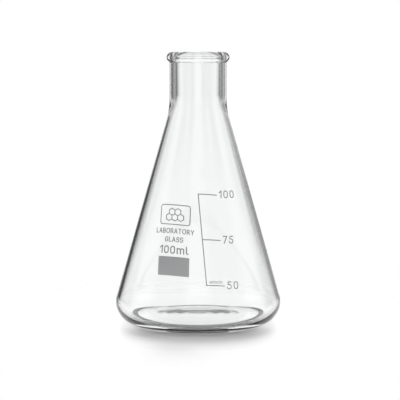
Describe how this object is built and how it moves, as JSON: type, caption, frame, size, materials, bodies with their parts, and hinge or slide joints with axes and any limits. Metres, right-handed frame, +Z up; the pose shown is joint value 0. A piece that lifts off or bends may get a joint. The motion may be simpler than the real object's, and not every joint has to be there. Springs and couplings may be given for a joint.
{
  "type": "erlenmeyer flask",
  "caption": "Narrow-mouth conical laboratory flask of clear glass with a beaded mouth, fired-on graduation scale, numerals, label and marking patch.",
  "frame": {"origin": "middle of the foot, on the surface that the flask stands on", "axes": "+Z up the flask's axis out of its mouth; the print faces -Y"},
  "size_m": [0.064, 0.064, 0.105],
  "materials": {
    "clear_glass": "fire-polished clear borosilicate glass",
    "grey_enamel": "fired-on grey enamel print, low sheen"
  },
  "bodies": {
    "root": {"flask_body": "clear_glass", "graduation_scale": "grey_enamel", "numeral_50": "grey_enamel", "numeral_75": "grey_enamel", "numeral_100": "grey_enamel", "emblem_frame": "grey_enamel", "emblem_mark": "grey_enamel", "capacity_legend": "grey_enamel", "marking_patch": "grey_enamel"}
  },
  "joints": []
}
